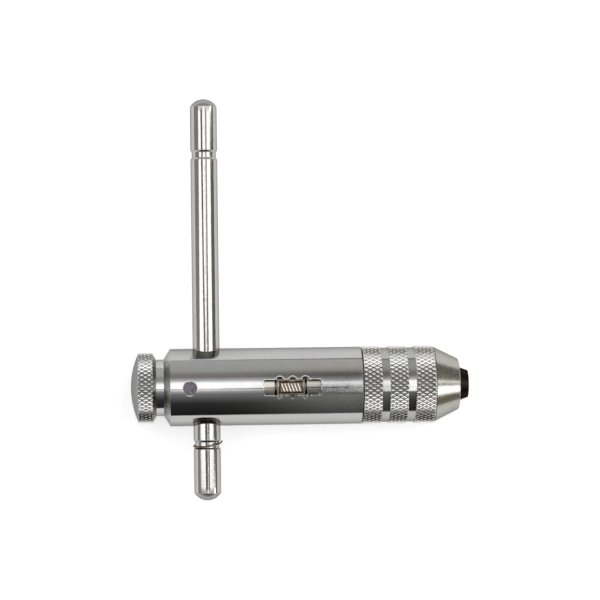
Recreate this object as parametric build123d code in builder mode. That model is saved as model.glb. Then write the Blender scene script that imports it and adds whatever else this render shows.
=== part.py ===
"""A ratchet tap wrench with a sliding tee bar, a three-way selector and a two-jaw screw chuck.

The tool lies along X. The origin is on its axis at the jaw mouth, +X points out of the mouth, +Y runs
along the long side of the tee bar and +Z points up through the selector's window. Millimetres.
"""

import os
from math import cos, hypot, radians, sin, sqrt, tan

from build123d import *

# Lengths along the tool, from the jaw mouth backwards
jaw_stick_out = 2.45
nose_cone_length = 6.8
knurl_band_lengths = (4.55, 4.6, 4.55)
band_groove_length = 1.95
nut_gap = 0.25
barrel_length = 48.05
rear_chamfer_length = 1.6
neck_length = 1.9
knob_bevel_length = 0.85
knob_rim_length = 3.65
knob_dome_height = 1.85

# Barrel
barrel_radius = 9.75
barrel_wall = 1.55
neck_depth = 2.65
knob_inset = 0.9
bore_floor_thickness = 2.1
detent_offset = 4.27

# Selector window
window_length = 14.3
window_width = 3.85
window_corner = 0.5
lobe_pitch = 3.17
lobe_radius = 1.02
lobe_reach = 2.75
window_bevel = 0.17

# Tee bar and its stop ring
bar_radius = 3.4
bar_long_side = 72.5
bar_short_side = 28.5
bar_dome_height = 1.9
bar_groove_from_end = 14.1
bar_groove_width = 2.4
bar_groove_radius = 3.05
ring_wire_radius = 0.22
ring_radius = 3.4
ring_tilt = 7.0
ring_gap_angle = 24.0

# Spring detent that holds the tee bar
detent_pin_radius = 1.25
detent_pin_shank = 1.6
detent_tip_radius = 0.45
detent_tip_angle = 27.0
detent_hole_radius = 1.35
plug_radius = 1.75
plug_thickness = 1.65
plug_recess = 0.1
detent_wire_radius = 0.16
detent_spring_turns = 2

# Spindle
rear_journal_radius = 3.0
ratchet_length = 14.0
tooth_count = 12
tooth_height = 0.9
tooth_tip_half_angle = 5.0
tooth_root_half_angle = 9.0
front_journal_over_teeth = 0.1
collar_under_thread = 0.55
collar_length = 8.15
thread_nose_length = 6.65
jaw_slot_width = 7.0
jaw_slot_depth = 6.5

# Plate, bush, retaining ring and pins in the barrel
bush_recess = 0.9
bush_length = 2.8
circlip_thickness = 0.6
rear_plate_thickness = 0.8
spindle_clip_groove_depth = 0.6
spindle_clip_width = 0.93
clip_gap_angle = 60.0
pin_radius = 0.6
pin_depth_in_bush = 1.5

# Pawls
pawl_pin_from_wall = 1.2
pawl_pivot_angle = 62.0
pawl_hub_radius = 1.05
pawl_blade_length = 13.4
pawl_blade_thickness = 1.55
pawl_blade_end_angle = 110.0
pawl_swing_room = 0.45
pawl_over_teeth = 0.8
pawl_lift = 0.1
nose_start_angle = 96.5
nose_angles = (102.5, 108.0)
tail_width = 3.0
tail_thickness = 0.95
tail_under_cam = 0.1
tail_end_angle = 21.0
pawl_spring_width = 3.0
pawl_spring_thickness = 0.27
pawl_spring_end_angle = 100.0

# Selector
window_cover = 0.28
selector_offset = -0.4
selector_thickness = 0.7
selector_half_angle = 32.0
cam_width = 2.6
cam_inner_angle = 22.0
cam_depth = 0.8
button_length = 6.25
button_width = 3.05
button_top_length = 5.1
button_top_width = 2.1
button_height = 0.8
relief_slot_width = 0.58
relief_slot_gap = 0.35
rib_count = 6
rib_pitch = 0.8
rib_width = 0.34
rib_height = 0.32
rib_slant = 20.0
clip_thickness = 0.22
clip_height = 0.62
clip_play = 0.05
ear_radius = 0.85

# Chuck
nut_over_barrel = 0.05
band_groove_depth = 0.4
nose_cone_depth = 3.37
nut_wall = 2.3
jaw_tip_radius = 3.45
jaw_cone_angle = 20.0
jaw_back_radius = 5.5
jaw_gap = 0.6
jaw_head_clearance = 0.5
tap_shank_radius = 1.8
tap_shank_grip = 4.0
square_groove = 2.4
square_groove_end = 13.0
jaw_spring_radius = 0.8
jaw_spring_wire = 0.15
jaw_spring_turns = 2
jaw_spring_from_back = 3.4
jaw_pocket_depth = 1.9
snap_wire_width = 0.8
snap_ring_from_rear = 1.8
snap_groove_depth = 0.5
snap_gap_angle = 90.0

# Clearances
running_clearance = 0.05
bush_clearance = 0.04
seat_clearance = 0.02
end_play = 0.1
cone_clearance = 0.1
selector_play = 0.05
selector_end_room = 0.23
drill_end_room = 0.25

# Lengths that follow from the selector's travel between the bush and the rear plate
selector_length = window_length + 2 * (lobe_pitch + abs(selector_offset) + window_cover)
selector_reach = selector_length / 2 + lobe_pitch + selector_end_room
selector_from_front = bush_recess + bush_length + selector_reach
bore_depth = selector_from_front + selector_reach + rear_plate_thickness + running_clearance
tee_from_front = bore_depth + bore_floor_thickness + bar_radius + running_clearance

# Places along the axis
nut_nose = -jaw_stick_out
cone_back = nut_nose - nose_cone_length
nut_rear = cone_back - sum(knurl_band_lengths) - 2 * band_groove_length
barrel_front = nut_rear - nut_gap
chamfer_front = barrel_front - barrel_length
chamfer_rear = chamfer_front - rear_chamfer_length
neck_rear = chamfer_rear - neck_length
rim_front = neck_rear - knob_bevel_length
rim_rear = rim_front - knob_rim_length
knob_tip = rim_rear - knob_dome_height
bore_floor = barrel_front - bore_depth
tee_axis = barrel_front - tee_from_front
detent_axis = tee_axis - detent_offset
selector_centre = barrel_front - selector_from_front
window_centre = selector_centre - selector_offset
bush_front = barrel_front - bush_recess
bush_rear = bush_front - bush_length
rear_plate_rear = bore_floor + running_clearance
rear_plate_front = rear_plate_rear + rear_plate_thickness

# Radii that follow from the barrel's and from a seat
bore_radius = barrel_radius - barrel_wall
neck_radius = barrel_radius - neck_depth
knob_radius = barrel_radius - knob_inset
nut_radius = barrel_radius + nut_over_barrel
band_groove_radius = nut_radius - band_groove_depth
nose_face_radius = nut_radius - nose_cone_depth
cross_hole_radius = bar_radius + running_clearance
bush_outer = bore_radius - bush_clearance
selector_outer = bore_radius - selector_play
selector_inner = selector_outer - selector_thickness
pawl_pivot_radius = bore_radius - pawl_pin_from_wall
pawl_blade_outer = bore_radius - pawl_swing_room
pawl_blade_inner = pawl_blade_outer - pawl_blade_thickness
tail_outer = selector_inner - cam_depth - tail_under_cam
tail_inner = tail_outer - tail_thickness
tooth_tip_radius = pawl_blade_inner - pawl_over_teeth
tooth_root_radius = tooth_tip_radius - tooth_height
front_journal_radius = tooth_tip_radius + front_journal_over_teeth
spindle_clip_groove_radius = front_journal_radius - spindle_clip_groove_depth
nut_bore_radius = nut_radius - nut_wall
thread_nose_radius = nut_bore_radius - running_clearance
collar_radius = thread_nose_radius - collar_under_thread
jaw_rise = tan(radians(jaw_cone_angle))

os.makedirs("parts", exist_ok=True)


def half_section(corners):
    """A closed half section beside the tool's axis, from corners given as (x, radius)."""
    with BuildSketch(Plane.XY) as section:
        with BuildLine():
            Polyline(*corners, close=True)
        make_face()
    return section.sketch


def around(radius, angle):
    """The (y, z) place at a radius from the axis and an angle in degrees from +Z towards +Y."""
    return radius * sin(radians(angle)), radius * cos(radians(angle))


def ring_sector(inner, outer, start, end, x):
    """Part of a flat ring across the axis at x, between two angles from +Z towards +Y."""
    middle = (start + end) / 2
    with BuildSketch(Plane.YZ.offset(x)) as sector:
        with BuildLine():
            ThreePointArc(around(outer, start), around(outer, middle), around(outer, end))
            Line(around(outer, end), around(inner, end))
            ThreePointArc(around(inner, end), around(inner, middle), around(inner, start))
            Line(around(inner, start), around(outer, start))
        make_face()
    return sector.sketch


def coil(radius, wire_radius, turns, bottom, top, place):
    """A coil spring that stands along Z between two heights at a place (x, y)."""
    height = top - bottom - 2 * wire_radius
    start = Location((*place, bottom + wire_radius))
    path = start * Helix(pitch=height / turns, height=height, radius=radius)
    with BuildPart() as spring:
        with BuildSketch(Plane(origin=path @ 0, z_dir=path % 0)) as wire:
            RegularPolygon(wire_radius, 4)
        sweep(wire.sketch, path=path, is_frenet=True)
    return spring.part


def on_window_rim(edge):
    """True for an edge where the window breaks out of the barrel's outer cylinder."""
    middle = edge.center()
    points = (edge @ 0.25, edge @ 0.75)
    on_skin = all(abs(hypot(point.Y, point.Z) - barrel_radius) < 1e-3 for point in points)
    return on_skin and middle.Z > bore_radius and abs(middle.X - window_centre) < window_length


# Barrel: turned in one with its domed rear knob, bored from the front, cross drilled for the tee bar
# and cut through by the selector's window
plug_seat = barrel_radius - plug_recess - plug_thickness
dome_sphere = (knob_radius**2 + knob_dome_height**2) / (2 * knob_dome_height)
dome_middle = sqrt(dome_sphere**2 - (knob_radius / 2) ** 2)

with BuildPart() as barrel:
    with BuildSketch(Plane.XY):
        with BuildLine():
            ThreePointArc(
                (knob_tip, 0),
                (knob_tip + dome_sphere - dome_middle, knob_radius / 2),
                (rim_rear, knob_radius),
            )
            Polyline(
                (rim_rear, knob_radius),
                (rim_front, knob_radius),
                (neck_rear, neck_radius),
                (chamfer_rear, neck_radius),
                (chamfer_front, barrel_radius),
                (barrel_front, barrel_radius),
                (barrel_front, bore_radius),
                (bore_floor, bore_radius),
                (bore_floor, 0),
                (knob_tip, 0),
            )
        make_face()
    revolve(axis=Axis.X)
    with Locations(Location((tee_axis, 0, 0), (90, 0, 0))):
        Hole(cross_hole_radius, depth=2 * barrel_radius + 1)
    with Locations((detent_axis, 0, barrel_radius)):
        CounterBoreHole(
            detent_hole_radius,
            plug_radius + seat_clearance,
            barrel_radius - plug_seat,
            depth=barrel_radius + drill_end_room,
        )
    with BuildSketch(Plane.XY) as window_outline:
        with Locations((window_centre, 0)):
            RectangleRounded(window_length, window_width, window_corner)
            with GridLocations(lobe_pitch, 2 * (lobe_reach - lobe_radius), 3, 2):
                Circle(lobe_radius)
    extrude(amount=barrel_radius + 1, mode=Mode.SUBTRACT)
    chamfer(barrel.edges().filter_by(on_window_rim), window_bevel)
barrel.part.label = "barrel"
export_step(barrel.part, "parts/barrel.step")

# Detent: plug, spring and a pointed pin that bears on the tee bar's flank, in a stepped hole. The
# cone's side touches the bar's cylinder where both slope alike.
tip_slope = radians(detent_tip_angle)
tip_touch = bar_radius + running_clearance
tip_top = tip_touch / sin(tip_slope) - (detent_offset - detent_pin_radius) / tan(tip_slope)
tip_bottom = tip_top - (detent_pin_radius - detent_tip_radius) / tan(tip_slope)
pin_top = tip_top + detent_pin_shank

with BuildPart() as detent_plug:
    with Locations((detent_axis, 0, plug_seat)):
        Cylinder(plug_radius, plug_thickness, align=(Align.CENTER, Align.CENTER, Align.MIN))
detent_plug.part.label = "detent_plug"
export_step(detent_plug.part, "parts/detent_plug.step")

with BuildPart() as detent_pin:
    with BuildSketch(Plane.XZ) as pin_half:
        with BuildLine():
            Polyline(
                (0, tip_bottom),
                (detent_tip_radius, tip_bottom),
                (detent_pin_radius, tip_top),
                (detent_pin_radius, pin_top),
                (0, pin_top),
                close=True,
            )
        make_face()
    revolve(axis=Axis.Z)
detent_pin_placed = Location((detent_axis, 0, 0)) * detent_pin.part
detent_pin_placed.label = "detent_pin"
export_step(detent_pin_placed, "parts/detent_pin.step")

detent_spring = coil(
    detent_pin_radius - 2 * detent_wire_radius,
    detent_wire_radius,
    detent_spring_turns,
    pin_top,
    plug_seat,
    (detent_axis, 0),
)
detent_spring.label = "detent_spring"
export_step(detent_spring, "parts/detent_spring.step")

# Tee bar: domed ends, a stop groove near each end, and a wire ring in the short side's groove
with BuildPart() as tee_bar:
    groove_half = bar_groove_width / 2
    upper_groove = bar_long_side - bar_groove_from_end
    lower_groove = -bar_short_side + bar_groove_from_end
    groove_side = bar_radius - bar_groove_radius
    dome_radius = (bar_radius**2 + bar_dome_height**2) / (2 * bar_dome_height)
    dome_bulge = dome_radius - sqrt(dome_radius**2 - (bar_radius / 2) ** 2)
    with BuildSketch(Plane.XY):
        with BuildLine():
            Line((0, bar_long_side), (0, -bar_short_side))
            ThreePointArc(
                (0, -bar_short_side),
                (bar_radius / 2, -bar_short_side + dome_bulge),
                (bar_radius, -bar_short_side + bar_dome_height),
            )
            Polyline(
                (bar_radius, -bar_short_side + bar_dome_height),
                (bar_radius, lower_groove - groove_half),
                (bar_groove_radius, lower_groove - groove_half + groove_side),
                (bar_groove_radius, lower_groove + groove_half - groove_side),
                (bar_radius, lower_groove + groove_half),
                (bar_radius, upper_groove - groove_half),
                (bar_groove_radius, upper_groove - groove_half + groove_side),
                (bar_groove_radius, upper_groove + groove_half - groove_side),
                (bar_radius, upper_groove + groove_half),
                (bar_radius, bar_long_side - bar_dome_height),
            )
            ThreePointArc(
                (bar_radius, bar_long_side - bar_dome_height),
                (bar_radius / 2, bar_long_side - dome_bulge),
                (0, bar_long_side),
            )
        make_face()
    revolve(axis=Axis.Y)
tee_bar_placed = Location((tee_axis, 0, 0)) * tee_bar.part
tee_bar_placed.label = "tee_bar"
export_step(tee_bar_placed, "parts/tee_bar.step")

ring_place = Location((tee_axis, lower_groove, 0), (0, 0, ring_tilt))
ring_plane = Plane(ring_place)
with BuildPart() as bar_ring:
    with BuildSketch(Plane(ring_plane.origin, x_dir=ring_plane.x_dir, z_dir=ring_plane.z_dir)):
        with Locations((ring_radius, 0)):
            RegularPolygon(ring_wire_radius, 4)
    revolve(axis=Axis(ring_plane.origin, ring_plane.y_dir), revolution_arc=360 - ring_gap_angle)
bar_ring.part.label = "bar_ring"
export_step(bar_ring.part, "parts/bar_ring.step")

# Spindle: rear journal, ratchet wheel, front journal, collar, threaded nose with the jaw slot
journal_rear = bore_floor + drill_end_room
wheel_rear = selector_centre - ratchet_length / 2
wheel_front = selector_centre + ratchet_length / 2
collar_rear = bush_front + end_play
collar_front = collar_rear + collar_length
spindle_front = collar_front + thread_nose_length
slot_floor = spindle_front - jaw_slot_depth
clip_front = bush_rear - end_play
clip_rear = clip_front - circlip_thickness

with BuildPart() as spindle:
    revolve(
        half_section(
            [
                (journal_rear, 0),
                (journal_rear, rear_journal_radius),
                (wheel_rear, rear_journal_radius),
                (wheel_rear, tooth_root_radius),
                (wheel_front, tooth_root_radius),
                (wheel_front, front_journal_radius),
                (clip_rear - seat_clearance, front_journal_radius),
                (clip_rear - seat_clearance, spindle_clip_groove_radius),
                (clip_front + seat_clearance, spindle_clip_groove_radius),
                (clip_front + seat_clearance, front_journal_radius),
                (collar_rear, front_journal_radius),
                (collar_rear, collar_radius),
                (collar_front, collar_radius),
                (collar_front, thread_nose_radius),
                (spindle_front, thread_nose_radius),
                (spindle_front, 0),
            ]
        ),
        axis=Axis.X,
    )
    with BuildSketch(Plane.YZ.offset(wheel_rear)) as wheel:
        with PolarLocations(0, tooth_count):
            with BuildLine():
                Polyline(
                    around(rear_journal_radius, 90 - tooth_root_half_angle),
                    around(tooth_root_radius, 90 - tooth_root_half_angle),
                    around(tooth_tip_radius, 90 - tooth_tip_half_angle),
                    around(tooth_tip_radius, 90 + tooth_tip_half_angle),
                    around(tooth_root_radius, 90 + tooth_root_half_angle),
                    around(rear_journal_radius, 90 + tooth_root_half_angle),
                    close=True,
                )
            make_face()
    extrude(wheel.sketch, amount=ratchet_length)
    with BuildSketch(Plane.YZ.offset(slot_floor)) as slot:
        Rectangle(jaw_slot_width, 2 * nut_radius)
    extrude(slot.sketch, amount=jaw_slot_depth, mode=Mode.SUBTRACT)
spindle.part.label = "spindle"
export_step(spindle.part, "parts/spindle.step")

# Rear bearing plate and front bearing bush, with the blind holes that hold the pawl pins
pin_places = [around(pawl_pivot_radius, side * pawl_pivot_angle) for side in (-1, 1)]
pin_front = bush_rear + pin_depth_in_bush

with BuildPart() as rear_plate:
    with BuildSketch(Plane.YZ.offset(rear_plate_rear)):
        Circle(bush_outer)
        Circle(rear_journal_radius + running_clearance, mode=Mode.SUBTRACT)
        with Locations(*pin_places):
            Circle(pin_radius + seat_clearance, mode=Mode.SUBTRACT)
    extrude(amount=rear_plate_thickness)
rear_plate.part.label = "rear_plate"
export_step(rear_plate.part, "parts/rear_plate.step")

with BuildPart() as front_bush:
    with BuildSketch(Plane.YZ.offset(bush_rear)):
        Circle(bush_outer)
        Circle(front_journal_radius + running_clearance, mode=Mode.SUBTRACT)
    extrude(amount=bush_length)
    with BuildSketch(Plane.YZ.offset(bush_rear)) as pin_holes:
        with Locations(*pin_places):
            Circle(pin_radius + seat_clearance)
    extrude(pin_holes.sketch, amount=pin_depth_in_bush, mode=Mode.SUBTRACT)
front_bush.part.label = "front_bush"
export_step(front_bush.part, "parts/front_bush.step")

# Retaining ring on the spindle, behind the bush
with BuildPart() as spindle_circlip:
    spindle_ring = ring_sector(
        spindle_clip_groove_radius + seat_clearance,
        spindle_clip_groove_radius + seat_clearance + spindle_clip_width,
        180 + clip_gap_angle / 2,
        540 - clip_gap_angle / 2,
        clip_rear,
    )
    extrude(spindle_ring, amount=circlip_thickness)
spindle_circlip.part.label = "spindle_circlip"
export_step(spindle_circlip.part, "parts/spindle_circlip.step")

# Pawls: a long hub on its pin, a blade with the nose that drops between the teeth, and a tail
# that reaches under the selector's edge. Both are drawn lifted just clear of the teeth.
hub_rear = rear_plate_front + end_play
hub_front = bush_rear - end_play
nose_tip = tooth_tip_radius + pawl_lift

with BuildPart() as pawl_right:
    blade_rear = selector_centre - pawl_blade_length / 2
    blade = ring_sector(
        pawl_blade_inner, pawl_blade_outer, pawl_pivot_angle, pawl_blade_end_angle, blade_rear
    )
    extrude(blade, amount=pawl_blade_length)
    with BuildSketch(Plane.YZ.offset(blade_rear)):
        with BuildLine():
            Polyline(
                around(pawl_blade_outer, nose_start_angle),
                around(pawl_blade_inner, nose_start_angle),
                around(nose_tip, nose_angles[0]),
                around(nose_tip, nose_angles[1]),
                around(pawl_blade_inner, pawl_blade_end_angle),
                around(pawl_blade_outer, pawl_blade_end_angle),
                close=True,
            )
        make_face()
    extrude(amount=pawl_blade_length)
    with BuildSketch(Plane.YZ.offset(selector_centre - tail_width / 2)):
        with BuildLine():
            Polyline(
                around(pawl_blade_outer, pawl_pivot_angle),
                around(tail_outer, pawl_pivot_angle - 20),
                around(tail_outer, tail_end_angle),
                around(tail_inner, tail_end_angle),
                around(tail_inner, pawl_pivot_angle - 20),
                around(pawl_blade_inner, pawl_pivot_angle),
                close=True,
            )
        make_face()
    extrude(amount=tail_width)
    with BuildSketch(Plane.YZ.offset(hub_rear)):
        with Locations(pin_places[1]):
            Circle(pawl_hub_radius)
    extrude(amount=hub_front - hub_rear)
    with BuildSketch(Plane.YZ.offset(hub_rear)) as hub_hole:
        with Locations(pin_places[1]):
            Circle(pin_radius + running_clearance)
    extrude(amount=hub_front - hub_rear, mode=Mode.SUBTRACT)
pawl_right.part.label = "pawl_right"
export_step(pawl_right.part, "parts/pawl_right.step")

with BuildPart() as pawl_left:
    mirror(pawl_right.part, about=Plane.XZ)
pawl_left.part.label = "pawl_left"
export_step(pawl_left.part, "parts/pawl_left.step")

for name, place in zip(("pawl_pin_left", "pawl_pin_right"), pin_places):
    with BuildPart() as pawl_pin:
        with BuildSketch(Plane.YZ.offset(rear_plate_rear)):
            with Locations(place):
                Circle(pin_radius)
        extrude(amount=pin_front - rear_plate_rear)
    pawl_pin.part.label = name
    export_step(pawl_pin.part, f"parts/{name}.step")

with BuildPart() as pawl_spring:
    spring_band = ring_sector(
        bore_radius - seat_clearance - pawl_spring_thickness,
        bore_radius - seat_clearance,
        pawl_spring_end_angle,
        360 - pawl_spring_end_angle,
        selector_centre - pawl_spring_width / 2,
    )
    extrude(spring_band, amount=pawl_spring_width)
pawl_spring.part.label = "pawl_spring"
export_step(pawl_spring.part, "parts/pawl_spring.step")

# Selector: a curved plate under the window with two cams below and a ribbed button on top
button_top = selector_outer + button_height
rib_length = button_top_width / cos(radians(rib_slant))
slot_offset = button_length / 2 + relief_slot_gap + relief_slot_width / 2

with BuildPart() as selector:
    plate = ring_sector(
        selector_inner,
        selector_outer,
        -selector_half_angle,
        selector_half_angle,
        selector_centre - selector_length / 2,
    )
    extrude(plate, amount=selector_length)
    for side in (-1, 1):
        cam = ring_sector(
            selector_inner - cam_depth,
            selector_inner + selector_thickness / 2,
            side * cam_inner_angle,
            side * selector_half_angle,
            selector_centre + side * lobe_pitch - cam_width / 2,
        )
        extrude(cam, amount=cam_width)
    with BuildSketch(Plane.XY.offset(selector_outer - selector_thickness / 2)) as button_base:
        with Locations((selector_centre, 0)):
            Rectangle(button_length, button_width)
    with BuildSketch(Plane.XY.offset(button_top)) as button_face:
        with Locations((selector_centre, 0)):
            Rectangle(button_top_length, button_top_width)
    loft(sections=[button_base.sketch, button_face.sketch])
    with BuildSketch(Plane.XY.offset(button_top)) as ribs:
        with Locations((selector_centre, 0)):
            with GridLocations(rib_pitch, 0, rib_count, 1):
                Rectangle(rib_width, rib_length, rotation=rib_slant)
    extrude(ribs.sketch, amount=rib_height, taper=12)
    with BuildSketch(Plane.XY) as relief_slots:
        with Locations(*((selector_centre + side * slot_offset, 0) for side in (-1, 1))):
            Rectangle(relief_slot_width, window_width - 2 * seat_clearance)
    extrude(relief_slots.sketch, amount=selector_outer + 1, mode=Mode.SUBTRACT)
selector.part.label = "selector"
export_step(selector.part, "parts/selector.step")

# Detent clip: a strip bent round the button, with an ear on each side that clicks into the lobes
with BuildPart() as selector_clip:
    clip_length = button_length + 2 * (clip_play + clip_thickness)
    clip_width = button_width + 2 * (clip_play + clip_thickness)
    ear_centre = lobe_reach - lobe_radius
    with BuildSketch(Plane.XY.offset(selector_outer + seat_clearance)) as clip_outline:
        with Locations((selector_centre, 0)):
            Rectangle(clip_length, clip_width)
        with Locations(*((window_centre, side * ear_centre) for side in (-1, 1))):
            Circle(ear_radius)
        offset(amount=-clip_thickness, mode=Mode.SUBTRACT)
    extrude(amount=clip_height)
selector_clip.part.label = "selector_clip"
export_step(selector_clip.part, "parts/selector_clip.step")

# Chuck nut: three knurled bands, a cone in front, a cone inside that closes the jaws
band_rears = [cone_back]
for length in knurl_band_lengths:
    band_rears.append(band_rears[-1] - length - band_groove_length)
nose_hole_radius = jaw_tip_radius + jaw_stick_out * jaw_rise + cone_clearance
seat_back_radius = jaw_back_radius + cone_clearance
seat_back = nut_nose - (seat_back_radius - nose_hole_radius) / jaw_rise
snap_centre = nut_rear + snap_ring_from_rear

with BuildPart() as chuck_nut:
    outline = [
        (nut_nose, nose_hole_radius),
        (nut_nose, nose_face_radius),
        (cone_back, nut_radius),
    ]
    for front, length in zip(band_rears, knurl_band_lengths):
        rear = front - length
        if rear > nut_rear + band_groove_length:
            outline += [
                (rear, nut_radius),
                (rear, band_groove_radius),
                (rear - band_groove_length, band_groove_radius),
                (rear - band_groove_length, nut_radius),
            ]
    outline += [
        (nut_rear, nut_radius),
        (nut_rear, nut_bore_radius),
        (snap_centre - snap_wire_width / 2 - seat_clearance, nut_bore_radius),
        (snap_centre - snap_wire_width / 2 - seat_clearance, nut_bore_radius + snap_groove_depth),
        (snap_centre + snap_wire_width / 2 + seat_clearance, nut_bore_radius + snap_groove_depth),
        (snap_centre + snap_wire_width / 2 + seat_clearance, nut_bore_radius),
        (seat_back, nut_bore_radius),
        (seat_back, seat_back_radius),
    ]
    revolve(half_section(outline), axis=Axis.X)
chuck_nut.part.label = "chuck_nut"
export_step(chuck_nut.part, "parts/chuck_nut.step")

with BuildPart() as nut_snap_ring:
    with BuildSketch(Plane.XY):
        with Locations((snap_centre, nut_bore_radius + snap_groove_depth - seat_clearance)):
            Rectangle(snap_wire_width, snap_wire_width, align=(Align.CENTER, Align.MAX))
    revolve(axis=Axis.X, revolution_arc=360 - snap_gap_angle)
nut_snap_ring.part.label = "nut_snap_ring"
export_step(nut_snap_ring.part, "parts/nut_snap_ring.step")

# Jaws: two halves of a cone with a guided back, a round grip at the mouth and a square groove behind
jaw_back = slot_floor + 2 * end_play
jaw_head_rear = spindle_front + jaw_head_clearance
cone_end = -(jaw_back_radius - jaw_tip_radius) / jaw_rise
guide_width = jaw_slot_width - 2 * running_clearance
jaw_spring_place = (jaw_back + jaw_spring_from_back, 0)

with BuildPart() as jaw_upper:
    revolve(
        half_section(
            [
                (0, 0),
                (0, jaw_tip_radius),
                (cone_end, jaw_back_radius),
                (jaw_back, jaw_back_radius),
                (jaw_back, 0),
            ]
        ),
        axis=Axis.X,
    )
    with BuildSketch(Plane.YZ.offset(jaw_back)) as guides:
        with Locations((guide_width / 2, 0)):
            Rectangle(nut_radius, 2 * nut_radius, align=(Align.MIN, Align.CENTER))
        with Locations((-guide_width / 2, 0)):
            Rectangle(nut_radius, 2 * nut_radius, align=(Align.MAX, Align.CENTER))
    extrude(guides.sketch, amount=jaw_head_rear - jaw_back, mode=Mode.SUBTRACT)
    with BuildSketch(Plane.YZ.offset(-square_groove_end)) as square_hole:
        Rectangle(square_groove, square_groove, rotation=45)
    extrude(square_hole.sketch, amount=square_groove_end, mode=Mode.SUBTRACT)
    with BuildSketch(Plane.YZ.offset(-tap_shank_grip)) as shank_hole:
        Circle(tap_shank_radius)
    extrude(shank_hole.sketch, amount=tap_shank_grip, mode=Mode.SUBTRACT)
    with BuildSketch(Plane.XY) as pocket:
        with Locations(jaw_spring_place):
            Circle(jaw_spring_radius + running_clearance)
    extrude(pocket.sketch, amount=jaw_gap / 2 + jaw_pocket_depth, mode=Mode.SUBTRACT)
    split(bisect_by=Plane.XY.offset(jaw_gap / 2), keep=Keep.TOP)
jaw_upper.part.label = "jaw_upper"
export_step(jaw_upper.part, "parts/jaw_upper.step")

with BuildPart() as jaw_lower:
    mirror(jaw_upper.part, about=Plane.XY)
jaw_lower.part.label = "jaw_lower"
export_step(jaw_lower.part, "parts/jaw_lower.step")

spring_reach = jaw_gap / 2 + jaw_pocket_depth - seat_clearance
jaw_spring = coil(
    jaw_spring_radius - jaw_spring_wire,
    jaw_spring_wire,
    jaw_spring_turns,
    -spring_reach,
    spring_reach,
    jaw_spring_place,
)
jaw_spring.label = "jaw_spring"
export_step(jaw_spring, "parts/jaw_spring.step")
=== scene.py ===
"""Looks of a ratchet tap wrench that lies on a pale table, seen from above.

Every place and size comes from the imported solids, or is a named value in millimetres. The tool lies
along X with the jaw mouth at the origin, the tee bar along Y and the selector's window on top.
"""

import bpy
import numpy as np
from mathutils import Matrix, Vector
from mathutils.geometry import delaunay_2d_cdt


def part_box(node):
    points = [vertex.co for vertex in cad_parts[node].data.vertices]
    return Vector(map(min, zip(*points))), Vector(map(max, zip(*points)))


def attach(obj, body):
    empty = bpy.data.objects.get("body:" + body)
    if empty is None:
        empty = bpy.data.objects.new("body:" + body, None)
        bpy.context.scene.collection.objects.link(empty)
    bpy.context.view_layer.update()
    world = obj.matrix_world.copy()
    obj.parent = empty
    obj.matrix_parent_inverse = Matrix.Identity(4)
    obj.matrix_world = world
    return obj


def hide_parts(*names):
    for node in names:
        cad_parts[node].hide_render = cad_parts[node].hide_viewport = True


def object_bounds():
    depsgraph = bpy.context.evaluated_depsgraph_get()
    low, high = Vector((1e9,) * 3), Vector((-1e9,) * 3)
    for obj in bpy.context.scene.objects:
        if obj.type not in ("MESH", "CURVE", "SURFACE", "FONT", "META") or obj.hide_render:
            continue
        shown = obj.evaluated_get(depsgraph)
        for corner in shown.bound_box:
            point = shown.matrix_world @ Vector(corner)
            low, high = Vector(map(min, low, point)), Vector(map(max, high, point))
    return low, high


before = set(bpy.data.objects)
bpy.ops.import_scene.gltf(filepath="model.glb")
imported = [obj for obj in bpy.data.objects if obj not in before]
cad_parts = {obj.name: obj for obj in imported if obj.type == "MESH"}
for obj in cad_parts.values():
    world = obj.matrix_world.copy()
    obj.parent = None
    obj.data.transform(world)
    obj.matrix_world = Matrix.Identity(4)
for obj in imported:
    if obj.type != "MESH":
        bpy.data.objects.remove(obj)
cad_low, cad_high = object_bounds()

MM = 0.001

# Places and radii read from the solids, in millimetres
barrel_low, barrel_high = (np.array(corner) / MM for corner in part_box("barrel"))
nut_low, nut_high = (np.array(corner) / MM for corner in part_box("chuck_nut"))
bar_low, bar_high = (np.array(corner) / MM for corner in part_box("tee_bar"))
plug_low, plug_high = (np.array(corner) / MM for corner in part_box("detent_plug"))
ring_low, ring_high = (np.array(corner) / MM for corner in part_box("bar_ring"))

knob_tip, barrel_front = barrel_low[0], barrel_high[0]
barrel_radius = barrel_high[2]
nut_rear, nut_nose = nut_low[0], nut_high[0]
nut_radius = nut_high[2]
tee_axis = (bar_low[0] + bar_high[0]) / 2
bar_radius = bar_high[2]
bar_lower_end, bar_upper_end = bar_low[1], bar_high[1]
plug_axis = (plug_low[0] + plug_high[0]) / 2
ring_centre = (ring_low[1] + ring_high[1]) / 2

# Barrel and rear knob
barrel_length = 48.05
rear_chamfer_length = 1.6
neck_length = 1.9
neck_radius = 7.1
knob_bevel_length = 0.85
knob_rim_length = 3.65
knob_radius = 8.85
bore_radius = 8.2
bore_depth = 33.35
cross_hole_radius = 3.45
cross_hole_chamfer = 0.3
plug_hole_radius = 1.77
plug_hole_bevel = (0.16, 0.045)
plug_seat = 8.0
front_edge_break = 0.15
knob_edge_drop = 0.2
knob_edge_slope = 1.2

# Selector's window. A bevel is its width on the skin and its depth.
window_from_front = 17.7
window_length = 14.3
window_width = 3.85
window_corner = 0.5
lobe_pitch = 3.17
lobe_radius = 1.02
lobe_reach = 2.75
window_bevel = (0.19, 0.05)

# Heights over the axis between which the selector's strip turns to its button, and the button's top to
# its ribs
strip_top = (8.17, 8.3)
rib_flank = (9.0, 9.2)

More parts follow.
